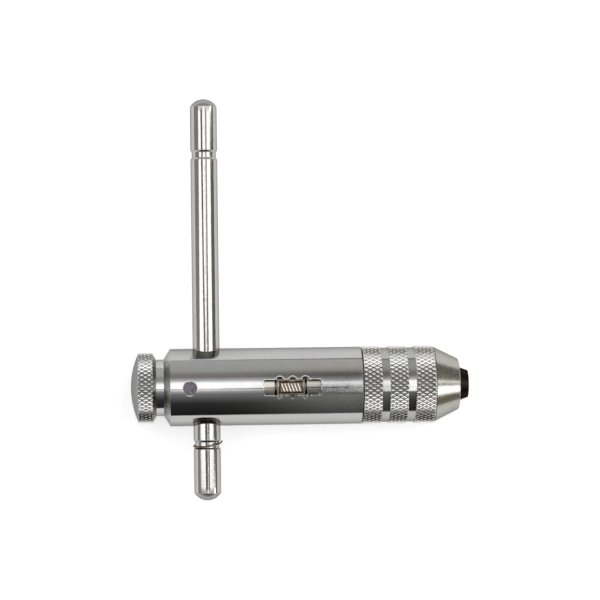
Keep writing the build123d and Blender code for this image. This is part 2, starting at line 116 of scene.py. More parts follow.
# Tee bar and its wire ring
bar_dome_height = 1.9
bar_groove_from_end = 14.1
bar_groove_width = 2.4
bar_groove_side = 0.55
bar_groove_radius = 3.05
bar_edge_break = 0.05
ring_wire_radius = 0.22
ring_radius = 3.38
ring_roll = 7.0
ring_pitch = 5.0
ring_gap_turns = 0.07
ring_tail_turns = 0.06
ring_tail_out = 0.5
ring_tail_aside = 0.45

# Chuck nut
nose_cone_length = 6.8
nose_face_radius = 6.43
nose_hole_radius = 4.44
nose_edge_break = 0.15
knurl_band_lengths = (4.55, 4.6, 4.55)
band_groove_length = 1.95
band_groove_radius = 9.4
band_rim_height = 0.22
band_rim_slope = 1.4
nut_bore_radius = 7.5
seat_back_radius = 5.6
seat_slope = 20.0

# Diamond knurl: crests round the nut and round the knob, the slant and depth of the cuts, and the power
# that widens the crests. The steps are the grid's for each crest, the foot is how far the cone starts
# below the cuts, and painted shade darkens a share of a cut's depth.
nut_crests = 50
knob_crests = 46
knurl_slant = 33.2
knurl_depth = 0.3
knurl_fullness = 0.9
knurl_steps = 10
knurl_foot = 0.03
cut_shade_share = 0.38

neck_rear = barrel_front - barrel_length - rear_chamfer_length - neck_length
chamfer_front = barrel_front - barrel_length
chamfer_rear = chamfer_front - rear_chamfer_length
window_centre = barrel_front - window_from_front

# Meshes: edges sharper than this angle stay sharp, and points are welded on a grid of so many steps a
# millimetre
sharp_angle = 35.0
weld_steps = 1e4


# Surfaces


def patch(points, faces, normals, material, smooth=True):
    """A piece of surface: points in millimetres, arrays of faces by index, and normals, or None."""
    points = np.asarray(points, float).reshape(-1, 3)
    if normals is None:
        normals = np.zeros_like(points)
    return {
        "points": points,
        "faces": faces,
        "normals": np.asarray(normals, float).reshape(-1, 3),
        "material": material,
        "smooth": smooth,
    }


def grid_faces(rows, columns):
    """Four-cornered faces of a grid of points whose last column meets its first."""
    row = np.arange(rows - 1)[:, None] * columns
    column = np.arange(columns)[None, :]
    after = (column + 1) % columns
    corners = (row + column, row + after, row + columns + after, row + columns + column)
    return np.stack(corners, -1).reshape(-1, 4)


def turned(profile, columns, material, axis="x", inward=False, centre=0.0):
    """A profile of (place along the axis, radius) carried round an axis.

    A point is (s, r sin t, r cos t) for the tool's axis, and the same with X and Y exchanged for the tee
    bar, whose axis stands at X = centre. The normal is the profile's own normal carried round. A
    profile that starts on the axis is closed there by one small flat face instead of a point.
    """
    s, r = np.asarray(profile, float).T
    slope_s, slope_r = np.gradient(s), np.gradient(r)
    length = np.hypot(slope_s, slope_r)
    along, out = slope_r / length, slope_s / length
    side = -1.0 if inward == (np.sum(out) > 0) else 1.0
    along, out = -along * side, out * side
    t = np.linspace(0, 2 * np.pi, columns, endpoint=False)

    def carried(ahead, outward):
        parts = ahead[:, None], outward[:, None] * np.sin(t), outward[:, None] * np.cos(t)
        return np.stack(np.broadcast_arrays(*parts), -1)

    points, normals = carried(s, r), carried(along, out)
    if axis == "y":
        points = points[..., [1, 0, 2]] + np.array([centre, 0, 0])
        normals = normals[..., [1, 0, 2]]
    if r[0] > 0:
        return patch(points, [grid_faces(len(s), columns)], normals, material)
    faces = [grid_faces(len(s) - 1, columns), np.arange(columns)[None, :]]
    return patch(points[1:], faces, normals[1:], material)


def flat_ring(s, outer, inner, columns, facing, material):
    """A flat ring across the tool's axis at s, between two radii, which faces +X or -X."""
    t = np.linspace(0, 2 * np.pi, columns, endpoint=False)
    radii = np.array([outer, inner])[:, None]
    points = np.stack(np.broadcast_arrays(np.full((2, 1), s), radii * np.sin(t), radii * np.cos(t)), -1)
    normals = np.zeros_like(points)
    normals[..., 0] = facing
    return patch(points, [grid_faces(2, columns)], normals, material)


def strip(outlines, material, smooth=True):
    """A wall that joins closed outlines with as many points each, one after the other."""
    points = np.stack(outlines)
    return patch(points, [grid_faces(*points.shape[:2])], None, material, smooth)


def weld(points):
    """Makes one of the points that coincide. Gives those left, and each old point's new number."""
    keys = np.round(points * weld_steps).astype(np.int64)
    _, first, number = np.unique(keys, axis=0, return_index=True, return_inverse=True)
    return points[first], number.reshape(-1)


def make_piece(name, patches, body, materials, replaced):
    """One object from patches, in place, riding on a body instead of the CAD node that it replaces.

    Each patch's faces are turned to agree with its normals, what meets is welded, faces that shrink to
    a line are dropped, and the patches' own normals are kept where they have them.
    """
    faces, corner_normals, smooth, numbers = [], [], [], []
    welded, number = weld(np.concatenate([p["points"] for p in patches]))
    offset = 0
    for p in patches:
        points, normals = p["points"], p["normals"]
        for rows in p["faces"]:
            a, b, c = points[rows[:, 0]], points[rows[:, 1]], points[rows[:, 2]]
            if np.sum(np.cross(b - a, c - a) * normals[rows[:, 0]]) < 0:
                rows = rows[:, ::-1]
            ids = number[rows + offset]
            kept = ids != np.roll(ids, 1, axis=1)
            corners = kept.sum(1)
            for count in np.unique(corners[corners > 2]):
                chosen = corners == count
                faces += ids[chosen][kept[chosen]].reshape(-1, count).tolist()
                corner_normals.append(normals[rows[chosen]][kept[chosen]])
                smooth += [p["smooth"]] * int(chosen.sum())
                numbers += [p["material"]] * int(chosen.sum())
        offset += len(points)
    mesh = bpy.data.meshes.new(name)
    mesh.from_pydata((welded * MM).tolist(), [], faces)
    mesh.polygons.foreach_set("use_smooth", smooth)
    mesh.polygons.foreach_set("material_index", numbers)
    mesh.set_sharp_from_angle(angle=np.radians(sharp_angle))
    mesh.normals_split_custom_set(np.concatenate(corner_normals).tolist())
    mesh.update()
    piece = bpy.data.objects.new(name, mesh)
    bpy.context.scene.collection.objects.link(piece)
    for material in materials:
        mesh.materials.append(material)
    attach(piece, body)
    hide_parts(replaced)


# Barrel


def window_outline(grow):
    """The window's outline seen from above, grown outwards by a width, counter-clockwise.

    It is a rectangle with rounded corners, joined with three circles on each long side. A lobe meets
    the straight side where its circle's height over the lobe's centre equals the side's. The second
    half is the first turned by half a turn.
    """
    half_length, half_width = window_length / 2 + grow, window_width / 2 + grow
    corner, lobe = window_corner + grow, lobe_radius + grow
    rise = lobe_reach - lobe_radius
    foot = np.arcsin((half_width - rise) / lobe)

    def arc(x, y, radius, start, end, count):
        t = np.linspace(start, end, count)
        return np.stack([x + radius * np.cos(t), y + radius * np.sin(t)], -1)

    def run(start, end, count):
        return np.linspace(start, end, count + 2)[1:-1]

    corner_steps, lobe_steps, side_steps, end_steps = 8, 22, 3, 9
    corner_x, corner_y = half_length - corner, half_width - corner
    arcs = [arc(corner_x, corner_y, corner, 0, np.pi / 2, corner_steps)]
    arcs += [arc(i * lobe_pitch, rise, lobe, foot, np.pi - foot, lobe_steps) for i in (1, 0, -1)]
    arcs += [arc(-corner_x, corner_y, corner, np.pi / 2, np.pi, corner_steps)]
    half = [arcs[0]]
    for before, after in zip(arcs, arcs[1:]):
        half += [run(before[-1], after[0], side_steps), after]
    half = np.concatenate(half)
    ends = run(half[-1], -half[0], end_steps), run(-half[-1], half[0], end_steps)
    return np.concatenate([half, ends[0], -half, ends[1]])


def on_cylinder(x, y, radius):
    """Points on the upper half of a cylinder round the tool's axis, above the places (x, y)."""
    return np.stack([x, y, np.sqrt(radius**2 - y**2)], -1)


def window_level(grow, radius):
    """The window's outline, grown, laid on a cylinder of a radius."""
    x, y = window_outline(grow).T
    return on_cylinder(window_centre + x, y, radius)


def plug_hole_level(radius, cylinder):
    """The rim of the plug's hole on a cylinder."""
    t = np.linspace(0, 2 * np.pi, 40, endpoint=False)
    return on_cylinder(plug_axis + radius * np.cos(t), radius * np.sin(t), cylinder)


def cross_hole_level(radius, cylinder, side):
    """The rim of the tee bar's hole on a cylinder, on one side: x = axis + r cos t, z = r sin t."""
    t = np.linspace(0, 2 * np.pi, 96, endpoint=False)
    z = radius * np.sin(t)
    return np.stack([tee_axis + radius * np.cos(t), side * np.sqrt(cylinder**2 - z**2), z], -1)


def inside(points, outline):
    """Which points lie inside a closed outline: a ray along X crosses it an odd number of times."""
    x, y = points[:, 0, None], points[:, 1, None]
    x0, y0 = outline.T
    x1, y1 = np.roll(outline, -1, 0).T
    with np.errstate(divide="ignore", invalid="ignore"):
        crossing = ((y0 > y) != (y1 > y)) & (x < (x1 - x0) * (y - y0) / (y1 - y0) + x0)
    return crossing.sum(1) % 2 == 1


def rolled_sheet(radius, start, end, columns, rims, material, inward=False):
    """A cylinder's wall with holes, unrolled to a flat sheet, filled with triangles and rolled up again.

    A point (x, y, z) of a rim lies at (x, radius times its angle from +Z) on the sheet. The sheet's long
    edges meet below, at the angle of half a turn.
    """
    rows, rim_distance = 40, 0.1
    unrolled = [np.stack([rim[:, 0], radius * np.arctan2(rim[:, 1], rim[:, 2])], -1) for rim in rims]
    angles = (np.arange(columns + 1) / columns - 0.5) * 2 * np.pi
    places = np.linspace(start, end, rows)
    inner = np.stack(np.meshgrid(places[1:-1], radius * angles[1:-1], indexing="ij"), -1).reshape(-1, 2)
    keep = np.ones(len(inner), bool)
    for rim in unrolled:
        nearest = np.min(np.hypot(*(inner[:, None, :] - rim[None, :, :]).transpose(2, 0, 1)), 1)
        keep &= ~inside(inner, rim) & (nearest > rim_distance)
    border = np.concatenate(
        [
            np.stack([np.full(columns + 1, start), radius * angles], -1),
            np.stack([places[1:-1], np.full(rows - 2, radius * angles[-1])], -1),
            np.stack([np.full(columns + 1, end), radius * angles[::-1]], -1),
            np.stack([places[-2:0:-1], np.full(rows - 2, radius * angles[0])], -1),
        ]
    )
    loops, points, count = [], [], 0
    for loop in (border, *unrolled):
        ids = np.arange(len(loop)) + count
        loops += np.stack([ids, np.roll(ids, -1)], -1).tolist()
        points.append(loop)
        count += len(loop)
    flat = np.concatenate([*points, inner[keep]])
    flat, _, triangles, *_ = delaunay_2d_cdt([Vector(p) for p in flat.tolist()], loops, [], 0, 1e-7)
    flat, triangles = np.array([tuple(p) for p in flat]), np.array([tuple(f) for f in triangles])
    middles = flat[triangles].mean(1)
    for rim in unrolled:
        hole = inside(middles, rim)
        triangles, middles = triangles[~hole], middles[~hole]
    angle = flat[:, 1] / radius
    out = np.stack([np.zeros(len(angle)), np.sin(angle), np.cos(angle)], -1)
    rolled = out * radius
    rolled[:, 0] = flat[:, 0]
    return patch(rolled, [triangles], -out if inward else out, material)


def barrel_surface(columns, chrome, dark, neck, chamfer):
    """The barrel's patches: skin, bore, the holes' walls and bevels, both ends."""
    outer_rims = [
        window_level(window_bevel[0], barrel_radius),
        plug_hole_level(plug_hole_radius + plug_hole_bevel[0], barrel_radius),
        cross_hole_level(cross_hole_radius + cross_hole_chamfer, barrel_radius, 1),
        cross_hole_level(cross_hole_radius + cross_hole_chamfer, barrel_radius, -1),
    ]
    skin_front, rim_radius = barrel_front - front_edge_break, barrel_radius - front_edge_break
    bore_floor = barrel_front - bore_depth
    bore_rims = [window_level(0, bore_radius)]
    patches = [
        rolled_sheet(barrel_radius, chamfer_front, skin_front, columns, outer_rims, chrome),
        rolled_sheet(bore_radius, bore_floor, barrel_front, columns, bore_rims, dark, inward=True),
        turned([(skin_front, barrel_radius), (barrel_front, rim_radius)], columns, chrome),
        flat_ring(barrel_front, rim_radius, bore_radius, columns, 1, chrome),
        flat_ring(bore_floor, bore_radius, 0, columns, 1, dark),
        turned([(chamfer_front, barrel_radius), (chamfer_rear, neck_radius)], columns, chamfer),
        turned([(chamfer_rear, neck_radius), (neck_rear, neck_radius)], columns, neck),
        flat_ring(neck_rear, neck_radius, 0, columns, -1, neck),
    ]
    below_bevel = window_level(0, barrel_radius)
    below_bevel[:, 2] -= window_bevel[1]
    patches += [
        strip([outer_rims[0], below_bevel], chrome, smooth=False),
        strip([below_bevel, *bore_rims], chrome),
    ]
    plug_edge = plug_hole_level(plug_hole_radius, barrel_radius)
    plug_edge[:, 2] -= plug_hole_bevel[1]
    seat = plug_edge.copy()
    seat[:, 2] = plug_seat
    middle = np.broadcast_to([plug_axis, 0, plug_seat], seat.shape)
    patches += [
        strip([outer_rims[1], plug_edge], chrome, smooth=False),
        strip([plug_edge, seat], chrome),
        strip([seat, middle], dark),
    ]
    ends = []
    for side, rim in zip((1, -1), outer_rims[2:]):
        edge = cross_hole_level(cross_hole_radius, barrel_radius, side)
        edge[:, 1] -= side * cross_hole_chamfer
        ends.append(edge)
        patches.append(strip([rim, edge] if side > 0 else [edge, rim], chrome))
    patches.append(strip(ends, dark))
    return patches


# Knurl and turned ends


def knurl_height(turns, x, pitch, crests):
    """Height of a diamond knurl from 0 in its cuts to 1 on its crests.

    Two families of cuts cross, at turns * crests plus and minus x / pitch. Each has the height of a
    rectified sine wave, sharp in its cut and round on its crest, and the surface is the lower of the
    two, raised to a power that widens the crests.
    """
    across, along = turns * crests, x / pitch
    cuts = [np.abs(np.sin(np.pi * (across + side * along))) for side in (1, -1)]
    return np.minimum(*cuts) ** knurl_fullness


def knurled_band(start, end, crests, radius, limit, material):
    """A knurled band round the tool's axis, from start to end, lowered where limit(x) gives less.

    The grid follows the knurl's lattice, so that crests and cuts run through its points, and each face
    is split along the diagonal that lies nearer to the surface. Gives the patch and its grid of points.
    """
    columns = crests * knurl_steps
    pitch = 2 * np.pi * radius / crests / np.tan(np.radians(knurl_slant))
    step = pitch / knurl_steps
    lattice = np.arange(np.ceil(start / step), np.floor(end / step) + 1) * step
    clear = 0.02
    lattice = lattice[(lattice > start + clear) & (lattice < end - clear)]
    x = np.unique(np.round(np.concatenate([[start, end], lattice]), 6))

    def surface(x, turns):
        height = knurl_height(turns, x, pitch, crests)
        return np.minimum(radius - knurl_depth * (1 - height), limit(x))

    turns = np.arange(columns) / columns
    r = surface(x[:, None], turns[None, :])
    t = 2 * np.pi * turns
    points = np.stack([np.broadcast_to(x[:, None], r.shape), r * np.sin(t), r * np.cos(t)], -1)
    a = grid_faces(len(x), columns)
    flat_r = r.reshape(-1)
    middle_x, middle_turn = (x[1:] + x[:-1]) / 2, turns + 0.5 / columns
    true_middle = surface(middle_x[:, None], middle_turn[None, :]).reshape(-1)
    first, second = (np.abs(flat_r[a[:, pair]].mean(1) - true_middle) for pair in ([0, 2], [1, 3]))
    use_first = (first <= second)[:, None]
    one = np.where(use_first, a[:, [0, 1, 2]], a[:, [0, 1, 3]])
    two = np.where(use_first, a[:, [0, 2, 3]], a[:, [1, 2, 3]])
    return patch(points, [np.concatenate([one, two])], None, material, smooth=False), points


def ring_to_wall(edge, s, inner, material):
    """A flat wall across the tool's axis at s, from a knurled band's last row of points to a radius."""
    t = np.arctan2(edge[:, 1], edge[:, 2])
    inside_row = np.stack([np.full(len(t), s), inner * np.sin(t), inner * np.cos(t)], -1)
    return strip([edge, inside_row], material)


def dome_profile(tip, base, radius, count):
    """Part of a circle from the axis at tip to a radius at base."""
    height = abs(base - tip)
    ball = (radius**2 + height**2) / (2 * height)
    t = np.linspace(0, np.arcsin(radius / ball), count)
    side = 1 if base > tip else -1
    return np.stack([tip + side * (ball - ball * np.cos(t)), ball * np.sin(t)], -1)


def knob_surface(satin, knurl, bevel):
    """The rear knob: dome, knurled rim, bevel and the flat end that meets the neck."""
    columns = knob_crests * knurl_steps
    rim_front = neck_rear - knob_bevel_length
    rim_rear = rim_front - knob_rim_length
    edge_radius = knob_radius - knob_edge_drop

    def limit(x):
        return edge_radius + np.minimum(x - rim_rear, rim_front - x) * knob_edge_slope

    band, points = knurled_band(rim_rear, rim_front, knob_crests, knob_radius, limit, knurl)
    return [
        turned(dome_profile(knob_tip, rim_rear, edge_radius, 28), columns, satin),
        band,
        turned([(rim_front, edge_radius), (neck_rear, neck_radius)], columns, bevel),
        flat_ring(neck_rear, neck_radius, 0, columns, 1, bevel),
        ring_to_wall(points[0], rim_rear, edge_radius, satin),
        ring_to_wall(points[-1], rim_front, edge_radius, satin),
    ]


def nut_surface(plain, knurl, groove_plate):
    """The chuck nut: nose face, cone, three knurled bands with bare grooves between, seat cone and bore."""
    columns = nut_crests * knurl_steps
    cone_back = nut_nose - nose_cone_length
    cone_slope = (nut_radius - nose_face_radius) / nose_cone_length
    cone_foot = nut_radius - knurl_depth - knurl_foot
    knurl_end = nut_nose - (cone_foot - nose_face_radius) / cone_slope
    seat_back = nut_nose - (seat_back_radius - nose_hole_radius) / np.tan(np.radians(seat_slope))
    cone_end = (nut_nose - nose_edge_break, nose_face_radius + cone_slope * nose_edge_break)
    face_radius = nose_face_radius - nose_edge_break
    seat = [(nut_nose, nose_hole_radius), (seat_back, seat_back_radius)]
    bore = [(seat_back, nut_bore_radius), (nut_rear, nut_bore_radius)]
    patches = [
        turned([(knurl_end, cone_foot), cone_end], columns, plain),
        turned([cone_end, (nut_nose, face_radius)], columns, plain),
        flat_ring(nut_nose, face_radius, nose_hole_radius, columns, 1, plain),
        turned(seat, columns, plain, inward=True),
        flat_ring(seat_back, nut_bore_radius, seat_back_radius, columns, -1, plain),
        turned(bore, columns, plain, inward=True),
    ]
    rim_radius = band_groove_radius + band_rim_height

    def band_limit(rear, front, first):
        """How far out a band reaches at x: its ends slope, and the cone cuts the first one."""

        def limit(x):
            behind = rim_radius + band_rim_slope * (x - rear)
            if first:
                return np.minimum(behind, nut_radius - cone_slope * np.maximum(x - front, 0))
            return np.minimum(behind, rim_radius + band_rim_slope * (front - x))

        return limit

    front = cone_back
    for band, length in enumerate(knurl_band_lengths):
        first, last = band == 0, band == len(knurl_band_lengths) - 1
        rear = front - length
        end = knurl_end if first else front
        limit = band_limit(rear, front, first)
        surface, points = knurled_band(rear, end, nut_crests, nut_radius, limit, knurl)
        patches.append(surface)
        patches.append(ring_to_wall(points[0], rear, nut_bore_radius if last else band_groove_radius, plain))
        if not first:
            patches.append(ring_to_wall(points[-1], front, band_groove_radius, plain))
        if not last:
            groove = [(rear - band_groove_length, band_groove_radius), (rear, band_groove_radius)]
            patches.append(turned(groove, columns, groove_plate))
        front = rear - band_groove_length
    return patches


# Tee bar and ring


def bar_surface(chrome, satin):
    """The tee bar: satin domes, a bright shank, and a shallow groove with rounded sides near each end.

    A groove's radius is the bar's less its depth times a raised cosine over each of its sides.
    """
    columns = 144
    patches = []
    for end, side in ((bar_lower_end, 1), (bar_upper_end, -1)):
        base = end + side * bar_dome_height
        dome = dome_profile(end, base, bar_radius - bar_edge_break, 16)
        patches.append(turned(dome, columns, satin, "y", centre=tee_axis))
    depth = bar_radius - bar_groove_radius
    low, high = bar_lower_end + bar_dome_height, bar_upper_end - bar_dome_height
    centres = (bar_lower_end + bar_groove_from_end, bar_upper_end - bar_groove_from_end)
    beside = bar_edge_break + 0.01
    s = [np.array([low, low + beside, high - beside, high])]
    for centre in centres:
        half = bar_groove_width / 2
        for edge, turn in ((centre - half, 1), (centre + half, -1)):
            s.append(edge + turn * np.linspace(0, bar_groove_side, 12))
    s.append(np.linspace(low, high, 60))
    s = np.unique(np.round(np.concatenate(s), 5))
    r = np.full(len(s), bar_radius)
    for centre in centres:
        into = np.clip((bar_groove_width / 2 - np.abs(s - centre)) / bar_groove_side, 0, 1)
        r -= depth * (1 - np.cos(np.pi * into)) / 2
    r -= np.clip(bar_edge_break - np.minimum(s - low, high - s), 0, bar_edge_break)
    patches.append(turned(np.stack([s, r], -1), columns, chrome, "y", centre=tee_axis))
    return patches


def ring_path(t):
    """The wire ring's centre line at angles t, in turns from the tail: a circle round the bar, rolled
    and pitched a little, whose tail bends away from the bar."""
    angle = 2 * np.pi * t
    tail = np.clip(ring_tail_turns - t, 0, None) / ring_tail_turns
    radius = ring_radius + ring_tail_out * tail**2
    points = np.stack([radius * np.cos(angle), ring_tail_aside * tail**2, radius * np.sin(angle)], -1)
    roll, pitch = np.radians([ring_roll, ring_pitch])
    turn = Matrix.Rotation(roll, 3, "Z") @ Matrix.Rotation(pitch, 3, "X")
    return points @ np.array(turn).T + np.array([tee_axis, ring_centre, 0])


def ring_surface():
    """A round wire along the ring's centre line, with rounded ends.

    At each place the cross-section is a circle square to the line, between a direction away from the
    bar and one along it.
    """
    rows, columns = 110, 14
    t = np.linspace(-0.005, 1 - ring_gap_turns, rows)
    line = ring_path(t)
    ahead = np.gradient(line, axis=0)
    ahead /= np.linalg.norm(ahead, axis=1, keepdims=True)
    out = line - np.array([tee_axis, ring_centre, 0])
    out -= np.sum(out * ahead, 1, keepdims=True) * ahead
    out /= np.linalg.norm(out, axis=1, keepdims=True)
    side = np.cross(ahead, out)
    around = np.linspace(0, 2 * np.pi, columns, endpoint=False)
    taper = np.ones(rows)
    taper[[0, -1]] = 0.0
    taper[[1, -2]] = 0.8
    end_share = 0.4
    line[0] = line[1] + end_share * (line[0] - line[1])
    line[-1] = line[-2] + end_share * (line[-1] - line[-2])
    normal = np.cos(around)[None, :, None] * out[:, None] + np.sin(around)[None, :, None] * side[:, None]
    points = line[:, None] + ring_wire_radius * taper[:, None, None] * normal
    return [patch(points, [grid_faces(rows, columns)], normal, 0)]


# Materials


def linear(hex_colour):
    """An sRGB hex colour as linear light, with full alpha."""
    parts = [int(hex_colour[i : i + 2], 16) / 255 for i in (1, 3, 5)]
    return [p / 12.92 if p <= 0.04045 else ((p + 0.055) / 1.055) ** 2.4 for p in parts] + [1.0]


def add_node(tree, kind, *values, inputs=None, **settings):
    """Adds a node, sets its properties from the settings, and fills its sockets.

    Values go to the first sockets in turn, and inputs fills others by name or number. Each is a
    constant, or what to link: another node's output, or a node itself for its first output.
    """
    node = tree.nodes.new(kind)
    for name, value in settings.items():
        setattr(node, name, value)
    for socket, value in {**dict(enumerate(values)), **(inputs or {})}.items():
        source = value.outputs[0] if isinstance(value, bpy.types.Node) else value
        if isinstance(source, bpy.types.NodeSocket):
            tree.links.new(source, node.inputs[socket])
        else:
            node.inputs[socket].default_value = source
    return node


def new_material(name):
    """A material with a Principled shader, its node tree, and its object coordinates in millimetres."""
    material = bpy.data.materials.new(name)
    material.use_nodes = True
    tree = material.node_tree
    tree.nodes.clear()
    shader = add_node(tree, "ShaderNodeBsdfPrincipled")
    add_node(tree, "ShaderNodeOutputMaterial", shader)
    place = add_node(tree, "ShaderNodeTexCoord").outputs["Object"]
    place = add_node(tree, "ShaderNodeVectorMath", place, operation="SCALE", inputs={"Scale": 1 / MM})
    return material, tree, shader, place


def metal(
    name,
    colour,
    darker,
    roughness,
    spread,
    grain,
    bump,
    stretch=(1, 1, 1),
    patches=0.0,
    stain=2.9,
    edge="#b0b0b0",
    metallic=1.0,
):
    """A bare or plated metal.

    Two noises in object coordinates vary its colour, its roughness and, by bump in millimetres, its
    height: one of cloudy stains of a size stain, and one of fine tool marks of a size grain, both in
    millimetres, drawn out along stretch. With patches the marks are weaker in some places. The edge
    tint keeps what is seen at a glancing angle from turning white. Metallic is less than one where a
    stain hides the metal. Real tool marks are a few hundredths of a millimetre wide, too fine to show,
    so they are drawn at one to five tenths.
    """
    material, tree, shader, place = new_material(name)
    shader.inputs["Metallic"].default_value = metallic
    shader.inputs["Specular Tint"].default_value = linear(edge)
    stretched = [1 / (grain * share) for share in stretch]
    marks = add_node(tree, "ShaderNodeVectorMath", place, stretched, operation="MULTIPLY")
    marks = add_node(tree, "ShaderNodeTexNoise", marks, inputs={"Scale": 1.0, "Detail": 3.0})
    stains = add_node(tree, "ShaderNodeTexNoise", place, inputs={"Scale": 1 / stain, "Detail": 4.0})
    shader.inputs["Base Color"].default_value = linear(colour)
    lay_over(material, stains, darker)
    usual, cloudy = (0.3, 0.7), (0.42, 0.62)
    rough = add_node(tree, "ShaderNodeMapRange", marks, *usual, roughness - spread, roughness + spread)
    tree.links.new(rough.outputs["Result"], shader.inputs["Roughness"])
    strength = add_node(tree, "ShaderNodeMapRange", stains, *cloudy, 1 - patches, 1.0)
    relief = {"Strength": strength, "Distance": bump * MM, "Height": marks}
    height = add_node(tree, "ShaderNodeBump", inputs=relief)
    tree.links.new(height.outputs["Normal"], shader.inputs["Normal"])
    return material


def shader_of(material):
    """A material's Principled shader."""
    return next(node for node in material.node_tree.nodes if node.type == "BSDF_PRINCIPLED")


def lay_over(material, share, hex_colour):
    """Covers a share of a material's present colour with another."""
    tree, base = material.node_tree, shader_of(material).inputs["Base Color"]
    present = base.links[0].from_socket if base.is_linked else list(base.default_value)
    mix = {0: share, 6: present, 7: linear(hex_colour)}
    covered = add_node(tree, "ShaderNodeMix", inputs=mix, data_type="RGBA")
    tree.links.new(covered.outputs[2], base)


def knurled_plate(name, crest_radius):
    """Bright plate on a knurl's crests, with painted shade at the bottom of its cuts.

    The distance from the tool's axis says how deep in a cut a place lies.
    """
    material = metal(name, "#e2e1df", "#d0cecb", 0.17, 0.05, 0.12, 0.0015, edge="#8c8c8c")
    tree = material.node_tree
    place = add_node(tree, "ShaderNodeTexCoord").outputs["Object"]
    flat = add_node(tree, "ShaderNodeVectorMath", place, (0, 1 / MM, 1 / MM), operation="MULTIPLY")
    radius = add_node(tree, "ShaderNodeVectorMath", flat, operation="LENGTH").outputs["Value"]
    floor = crest_radius - knurl_depth
    unshaded = floor + cut_shade_share * knurl_depth
    smooth = {"interpolation_type": "SMOOTHSTEP"}
    # Painted shade: near black laid over the bottom of each cut, fading out a share of the depth up
    cut_shade = add_node(tree, "ShaderNodeMapRange", radius, floor, unshaded, 1.0, 0.0, **smooth)
    lay_over(material, cut_shade, "#35322f")
    return material


def browned_selector_with_rib_highlight():
    """The selector's plate: polished on its strip, with a painted highlight on the ribs' tops, browned and
    less bare on the button's slopes and between its ribs. The height over the tool's axis decides which."""
    material = metal("pressed_plated_selector", "#adaaa2", "#9d988f", 0.07, 0.03, 0.12, 0.0004)
    tree, shader = material.node_tree, shader_of(material)
    place = add_node(tree, "ShaderNodeTexCoord").outputs["Object"]
    height = add_node(tree, "ShaderNodeSeparateXYZ", place).outputs["Z"]
    on_button, rib_highlight = (
        add_node(tree, "ShaderNodeMapRange", height, low * MM, high * MM, interpolation_type="SMOOTHSTEP")
        for low, high in (strip_top, rib_flank)
    )
    lay_over(material, on_button, "#8d7c66")
    # Painted highlight: the ribs' tops are laid over with near white
    lay_over(material, rib_highlight, "#f6f4f0")
    dulled, hidden = 0.26, 0.6
    polish = shader.inputs["Roughness"].links[0].from_socket
    polish = add_node(tree, "ShaderNodeMath", on_button, dulled, polish, operation="MULTIPLY_ADD")
    tree.links.new(polish.outputs[0], shader.inputs["Roughness"])
    stained = add_node(tree, "ShaderNodeMath", rib_highlight, on_button, operation="SUBTRACT")
    bare = add_node(tree, "ShaderNodeMath", stained, hidden, 1.0, operation="MULTIPLY_ADD")
    tree.links.new(bare.outputs[0], shader.inputs["Metallic"])
    return material


# Chromium plate over polished steel: clear reflections, faint marks round the tool from the lathe
barrel_chrome = metal(
    "polished_chrome_plate", "#b5b5b4", "#adadac", 0.075, 0.03, 0.22, 0.0032, (1, 2, 2), patches=0.85
)
# The same plate on a drawn bar: marks along the bar's length
bar_chrome = metal(
    "drawn_bar_chrome_plate", "#b6b5b2", "#adaba8", 0.07, 0.03, 0.25, 0.0075, (1, 1.8, 1), patches=0.5
)
# The neck behind the barrel: turned coarsely, with fine rings
turned_chrome = metal("ring_turned_plate", "#c4c5c6", "#b0b0ae", 0.11, 0.04, 0.1, 0.002, (1, 14, 14))
# Plate over a turned, unpolished face: grey and soft
satin_steel = metal("satin_turned_steel", "#a8a8a7", "#979796", 0.36, 0.05, 0.1, 0.001)
# Plate over the barrel's chamfer and the knob's bevel: painted light, a lighter colour than the barrel's
# plate
chamfer_plate = metal("turned_chamfer_plate_painted_light", "#d0d0cf", "#bebebc", 0.24, 0.05, 0.1, 0.001)
# Plate over a coarsely turned cone, speckled, and over the smooth grooves between the knurls
cone_steel = metal("turned_cone_plate", "#b6b5af", "#a09f97", 0.21, 0.06, 0.3, 0.0016, (1, 3, 3))
groove_chrome = metal("turned_groove_plate", "#adadab", "#9f9f9c", 0.09, 0.03, 0.2, 0.001, (1, 4, 4))
# Plate over a knurl, with painted shade in its cuts
nut_knurl = knurled_plate("knurled_nut_plate", nut_radius)
knob_knurl = knurled_plate("knurled_knob_plate", knob_radius)
# Hot black oxide on hardened steel: a thin dark brown-black film that still shines a little
black_oxide = metal("black_oxide_steel", "#332c28", "#161311", 0.3, 0.06, 0.12, 0.002, stain=0.7)
# Spring wire, bare and browned: warm and dull
browned_wire = metal("browned_spring_wire", "#a08d80", "#6a5a50", 0.26, 0.05, 0.1, 0.0008, stain=1.5)
# Plate over a pressed selector, browned between its button's top and its strip, with a painted highlight on
# the ribs' tops
selector_plate = browned_selector_with_rib_highlight()
# Hardened steel, ground: an even grey with soft reflections
ground_steel = metal("ground_bearing_steel", "#a6a5a3", "#8f8e8c", 0.3, 0.05, 0.1, 0.0008)
# A bare plug, blotched and rough
plug_steel = metal("dull_grey_plug", "#918a93", "#201c22", 0.38, 0.08, 0.45, 0.03, stain=0.7)
# Spring strip under a brown film that hides half of the metal
clip_steel = metal("browned_selector_clip", "#9c8b77", "#6f6153", 0.34, 0.06, 0.12, 0.0008, metallic=0.5)
# Bearing bronze, turned: warm, with fine rings
bush_bronze = metal("turned_bearing_bronze", "#b08a56", "#96713f", 0.3, 0.05, 0.12, 0.001, (1, 3, 3))
# The walls inside the bore and the holes, a darker grey than the plate outside
inner_steel = metal("darker_inner_wall_steel", "#6f6d6b", "#4d4b4a", 0.35, 0.05, 0.15, 0.001)

